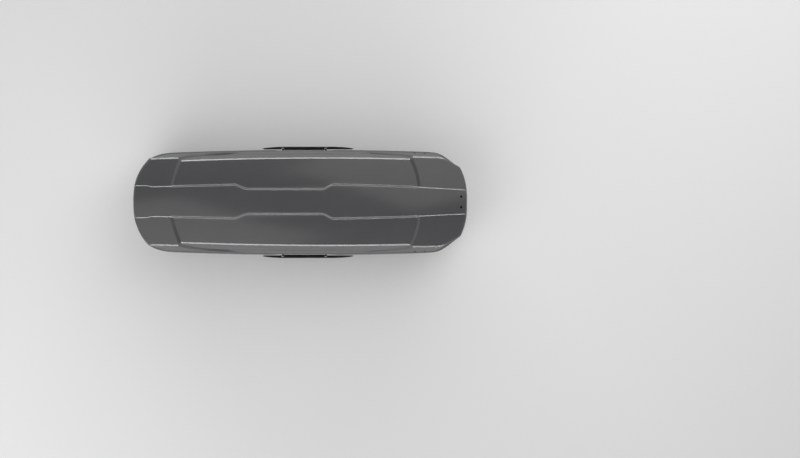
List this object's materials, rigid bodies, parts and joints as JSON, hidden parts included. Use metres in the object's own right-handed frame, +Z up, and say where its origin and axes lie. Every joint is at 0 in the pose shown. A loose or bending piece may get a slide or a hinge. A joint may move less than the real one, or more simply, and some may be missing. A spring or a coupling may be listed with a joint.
{
  "type": "roof cargo box",
  "caption": "Hard-shell roof cargo box whose lid hinges and lifts on gas struts from either side, with key latches and screw clamps that grip the crossbars.",
  "frame": {"origin": "middle of the keel, on the flat underside that rests on the crossbars", "axes": "+X forward along the box, +Y to the left, +Z up"},
  "size_m": [1.902, 0.635, 0.464],
  "materials": {
    "lid_plastic": "satin grey moulded lid",
    "tray_plastic": "grained black",
    "black_plastic": "fine grained black",
    "rubber": "matt",
    "alloy": "extruded",
    "bright_rod": "ground",
    "tube_paint": "satin black",
    "steel": "zinc plated"
  },
  "bodies": {
    "base": {"base_tray": "tray_plastic", "rim_seal": "rubber", "left_floor_rail": "alloy", "right_floor_rail": "alloy", "left_cradles": "black_plastic", "right_cradles": "black_plastic", "left_latch_guides": "black_plastic", "right_latch_guides": "black_plastic", "left_lock_boss": "black_plastic", "right_lock_boss": "black_plastic", "lifter_brackets": "steel", "base_screws": "steel"},
    "left_pins": {"left_hinge_pins": "steel"},
    "lid": {"lid_shell": "lid_plastic", "lid_bows": "alloy", "left_hinge_blocks": "black_plastic", "right_hinge_blocks": "black_plastic", "right_hinge_pins": "steel", "lifter_sockets": "black_plastic", "lid_rivets": "black_plastic", "left_handle_bezel": "black_plastic", "right_handle_bezel": "black_plastic"},
    "left_handle_body": {"left_handle": "black_plastic"},
    "right_handle_body": {"right_handle": "black_plastic"},
    "left_latch": {"left_latch_bar": "alloy"},
    "right_latch": {"right_latch_bar": "alloy"},
    "left_lock": {"left_lock_barrel": "steel"},
    "right_lock": {"right_lock_barrel": "steel"},
    "front_left_lifter_tube": {"front_left_tube": "tube_paint"},
    "front_left_lifter_rod": {"front_left_rod": "bright_rod"},
    "front_right_lifter_tube": {"front_right_tube": "tube_paint"},
    "front_right_lifter_rod": {"front_right_rod": "bright_rod"},
    "rear_left_lifter_tube": {"rear_left_tube": "tube_paint"},
    "rear_left_lifter_rod": {"rear_left_rod": "bright_rod"},
    "rear_right_lifter_tube": {"rear_right_tube": "tube_paint"},
    "rear_right_lifter_rod": {"rear_right_rod": "bright_rod"},
    "front_left_clamp_body": {"front_left_clamp": "black_plastic", "front_left_pad": "rubber"},
    "front_left_clamp_knob": {"front_left_knob": "black_plastic"},
    "front_left_clamp_jaw": {"front_left_jaw": "steel"},
    "front_right_clamp_body": {"front_right_clamp": "black_plastic", "front_right_pad": "rubber"},
    "front_right_clamp_knob": {"front_right_knob": "black_plastic"},
    "front_right_clamp_jaw": {"front_right_jaw": "steel"},
    "rear_left_clamp_body": {"rear_left_clamp": "black_plastic", "rear_left_pad": "rubber"},
    "rear_left_clamp_knob": {"rear_left_knob": "black_plastic"},
    "rear_left_clamp_jaw": {"rear_left_jaw": "steel"},
    "rear_right_clamp_body": {"rear_right_clamp": "black_plastic", "rear_right_pad": "rubber"},
    "rear_right_clamp_knob": {"rear_right_knob": "black_plastic"},
    "rear_right_clamp_jaw": {"rear_right_jaw": "steel"}
  },
  "joints": [
    {"name": "lid_open_left", "type": "hinge", "parent": "base", "child": "left_pins", "pos_m": [0, -0.262, 0.124], "axis": [1, 0, 0], "range_deg": [0, 50]},
    {"name": "lid_open_right", "type": "hinge", "parent": "left_pins", "child": "lid", "pos_m": [0, 0.262, 0.124], "axis": [-1, 0, 0], "range_deg": [0, 50]},
    {"name": "front_left_lifter_tilt", "type": "hinge", "parent": "base", "child": "front_left_lifter_tube", "pos_m": [0.728, -0.184, 0.066], "axis": [1, 0, 0], "range_deg": [0, 53.39]},
    {"name": "front_left_lifter_stroke", "type": "slide", "parent": "front_left_lifter_tube", "child": "front_left_lifter_rod", "axis": [0, 0.9916, 0.129], "range_m": [0, 0.07794]},
    {"name": "front_right_lifter_tilt", "type": "hinge", "parent": "base", "child": "front_right_lifter_tube", "pos_m": [0.752, 0.184, 0.066], "axis": [-1, 0, 0], "range_deg": [0, 53.39]},
    {"name": "front_right_lifter_stroke", "type": "slide", "parent": "front_right_lifter_tube", "child": "front_right_lifter_rod", "axis": [0, -0.9916, 0.129], "range_m": [0, 0.07794]},
    {"name": "rear_left_lifter_tilt", "type": "hinge", "parent": "base", "child": "rear_left_lifter_tube", "pos_m": [-0.728, -0.184, 0.066], "axis": [1, 0, 0], "range_deg": [0, 53.39]},
    {"name": "rear_left_lifter_stroke", "type": "slide", "parent": "rear_left_lifter_tube", "child": "rear_left_lifter_rod", "axis": [0, 0.9916, 0.129], "range_m": [0, 0.07794]},
    {"name": "rear_right_lifter_tilt", "type": "hinge", "parent": "base", "child": "rear_right_lifter_tube", "pos_m": [-0.752, 0.184, 0.066], "axis": [-1, 0, 0], "range_deg": [0, 53.39]},
    {"name": "rear_right_lifter_stroke", "type": "slide", "parent": "rear_right_lifter_tube", "child": "rear_right_lifter_rod", "axis": [0, -0.9916, 0.129], "range_m": [0, 0.07794]},
    {"name": "left_latch_slide", "type": "slide", "parent": "base", "child": "left_latch", "axis": [-1, 0, 0], "range_m": [0, 0.018]},
    {"name": "left_key_turn", "type": "hinge", "parent": "base", "child": "left_lock", "pos_m": [0.06, 0.25, 0.058], "axis": [0, -1, 0], "range_deg": [0, 90]},
    {"name": "left_handle_pull", "type": "hinge", "parent": "lid", "child": "left_handle_body", "pos_m": [0.0225, 0.304, 0.114], "axis": [1, 0, 0], "range_deg": [0, 35], "stiffness_Nm_per_rad": 0.3},
    {"name": "right_latch_slide", "type": "slide", "parent": "base", "child": "right_latch", "axis": [-1, 0, 0], "range_m": [0, 0.018]},
    {"name": "right_key_turn", "type": "hinge", "parent": "base", "child": "right_lock", "pos_m": [0.06, -0.25, 0.058], "axis": [0, -1, 0], "range_deg": [0, 90]},
    {"name": "right_handle_pull", "type": "hinge", "parent": "lid", "child": "right_handle_body", "pos_m": [0.0225, -0.304, 0.114], "axis": [-1, 0, 0], "range_deg": [0, 35], "stiffness_Nm_per_rad": 0.3},
    {"name": "front_left_clamp_slide", "type": "slide", "parent": "base", "child": "front_left_clamp_body", "axis": [1, 0, 0], "range_m": [-0.06, 0.06]},
    {"name": "front_left_jaw_travel", "type": "slide", "parent": "front_left_clamp_body", "child": "front_left_clamp_jaw", "axis": [1, 0, 0], "range_m": [0, 0.024]},
    {"name": "front_left_knob_turn", "type": "hinge", "parent": "front_left_clamp_body", "child": "front_left_clamp_knob", "pos_m": [0.468, 0.18, 0.038], "axis": [1, 0, 0], "range_deg": [0, 2160]},
    {"name": "front_right_clamp_slide", "type": "slide", "parent": "base", "child": "front_right_clamp_body", "axis": [1, 0, 0], "range_m": [-0.06, 0.06]},
    {"name": "front_right_jaw_travel", "type": "slide", "parent": "front_right_clamp_body", "child": "front_right_clamp_jaw", "axis": [1, 0, 0], "range_m": [0, 0.024]},
    {"name": "front_right_knob_turn", "type": "hinge", "parent": "front_right_clamp_body", "child": "front_right_clamp_knob", "pos_m": [0.468, -0.18, 0.038], "axis": [1, 0, 0], "range_deg": [0, 2160]},
    {"name": "rear_left_clamp_slide", "type": "slide", "parent": "base", "child": "rear_left_clamp_body", "axis": [1, 0, 0], "range_m": [-0.06, 0.06]},
    {"name": "rear_left_jaw_travel", "type": "slide", "parent": "rear_left_clamp_body", "child": "rear_left_clamp_jaw", "axis": [1, 0, 0], "range_m": [0, 0.024]},
    {"name": "rear_left_knob_turn", "type": "hinge", "parent": "rear_left_clamp_body", "child": "rear_left_clamp_knob", "pos_m": [-0.262, 0.18, 0.038], "axis": [1, 0, 0], "range_deg": [0, 2160]},
    {"name": "rear_right_clamp_slide", "type": "slide", "parent": "base", "child": "rear_right_clamp_body", "axis": [1, 0, 0], "range_m": [-0.06, 0.06]},
    {"name": "rear_right_jaw_travel", "type": "slide", "parent": "rear_right_clamp_body", "child": "rear_right_clamp_jaw", "axis": [1, 0, 0], "range_m": [0, 0.024]},
    {"name": "rear_right_knob_turn", "type": "hinge", "parent": "rear_right_clamp_body", "child": "rear_right_clamp_knob", "pos_m": [-0.262, -0.18, 0.038], "axis": [1, 0, 0], "range_deg": [0, 2160]}
  ],
  "couplings": [
    {"joint": "front_left_lifter_tilt", "follows": "lid_open_left", "ratio": 1.0639},
    {"joint": "front_left_lifter_stroke", "follows": "lid_open_left", "m_per_rad": 0.088857},
    {"joint": "front_right_lifter_tilt", "follows": "lid_open_right", "ratio": 1.0639},
    {"joint": "front_right_lifter_stroke", "follows": "lid_open_right", "m_per_rad": 0.088857},
    {"joint": "rear_left_lifter_tilt", "follows": "lid_open_left", "ratio": 1.0639},
    {"joint": "rear_left_lifter_stroke", "follows": "lid_open_left", "m_per_rad": 0.088857},
    {"joint": "rear_right_lifter_tilt", "follows": "lid_open_right", "ratio": 1.0639},
    {"joint": "rear_right_lifter_stroke", "follows": "lid_open_right", "m_per_rad": 0.088857},
    {"joint": "left_key_turn", "follows": "left_latch_slide", "rad_per_m": 87.258},
    {"joint": "right_key_turn", "follows": "right_latch_slide", "rad_per_m": 87.258},
    {"joint": "front_left_knob_turn", "follows": "front_left_jaw_travel", "rad_per_m": 1570.6},
    {"joint": "front_right_knob_turn", "follows": "front_right_jaw_travel", "rad_per_m": 1570.6},
    {"joint": "rear_left_knob_turn", "follows": "rear_left_jaw_travel", "rad_per_m": 1570.6},
    {"joint": "rear_right_knob_turn", "follows": "rear_right_jaw_travel", "rad_per_m": 1570.6}
  ]
}
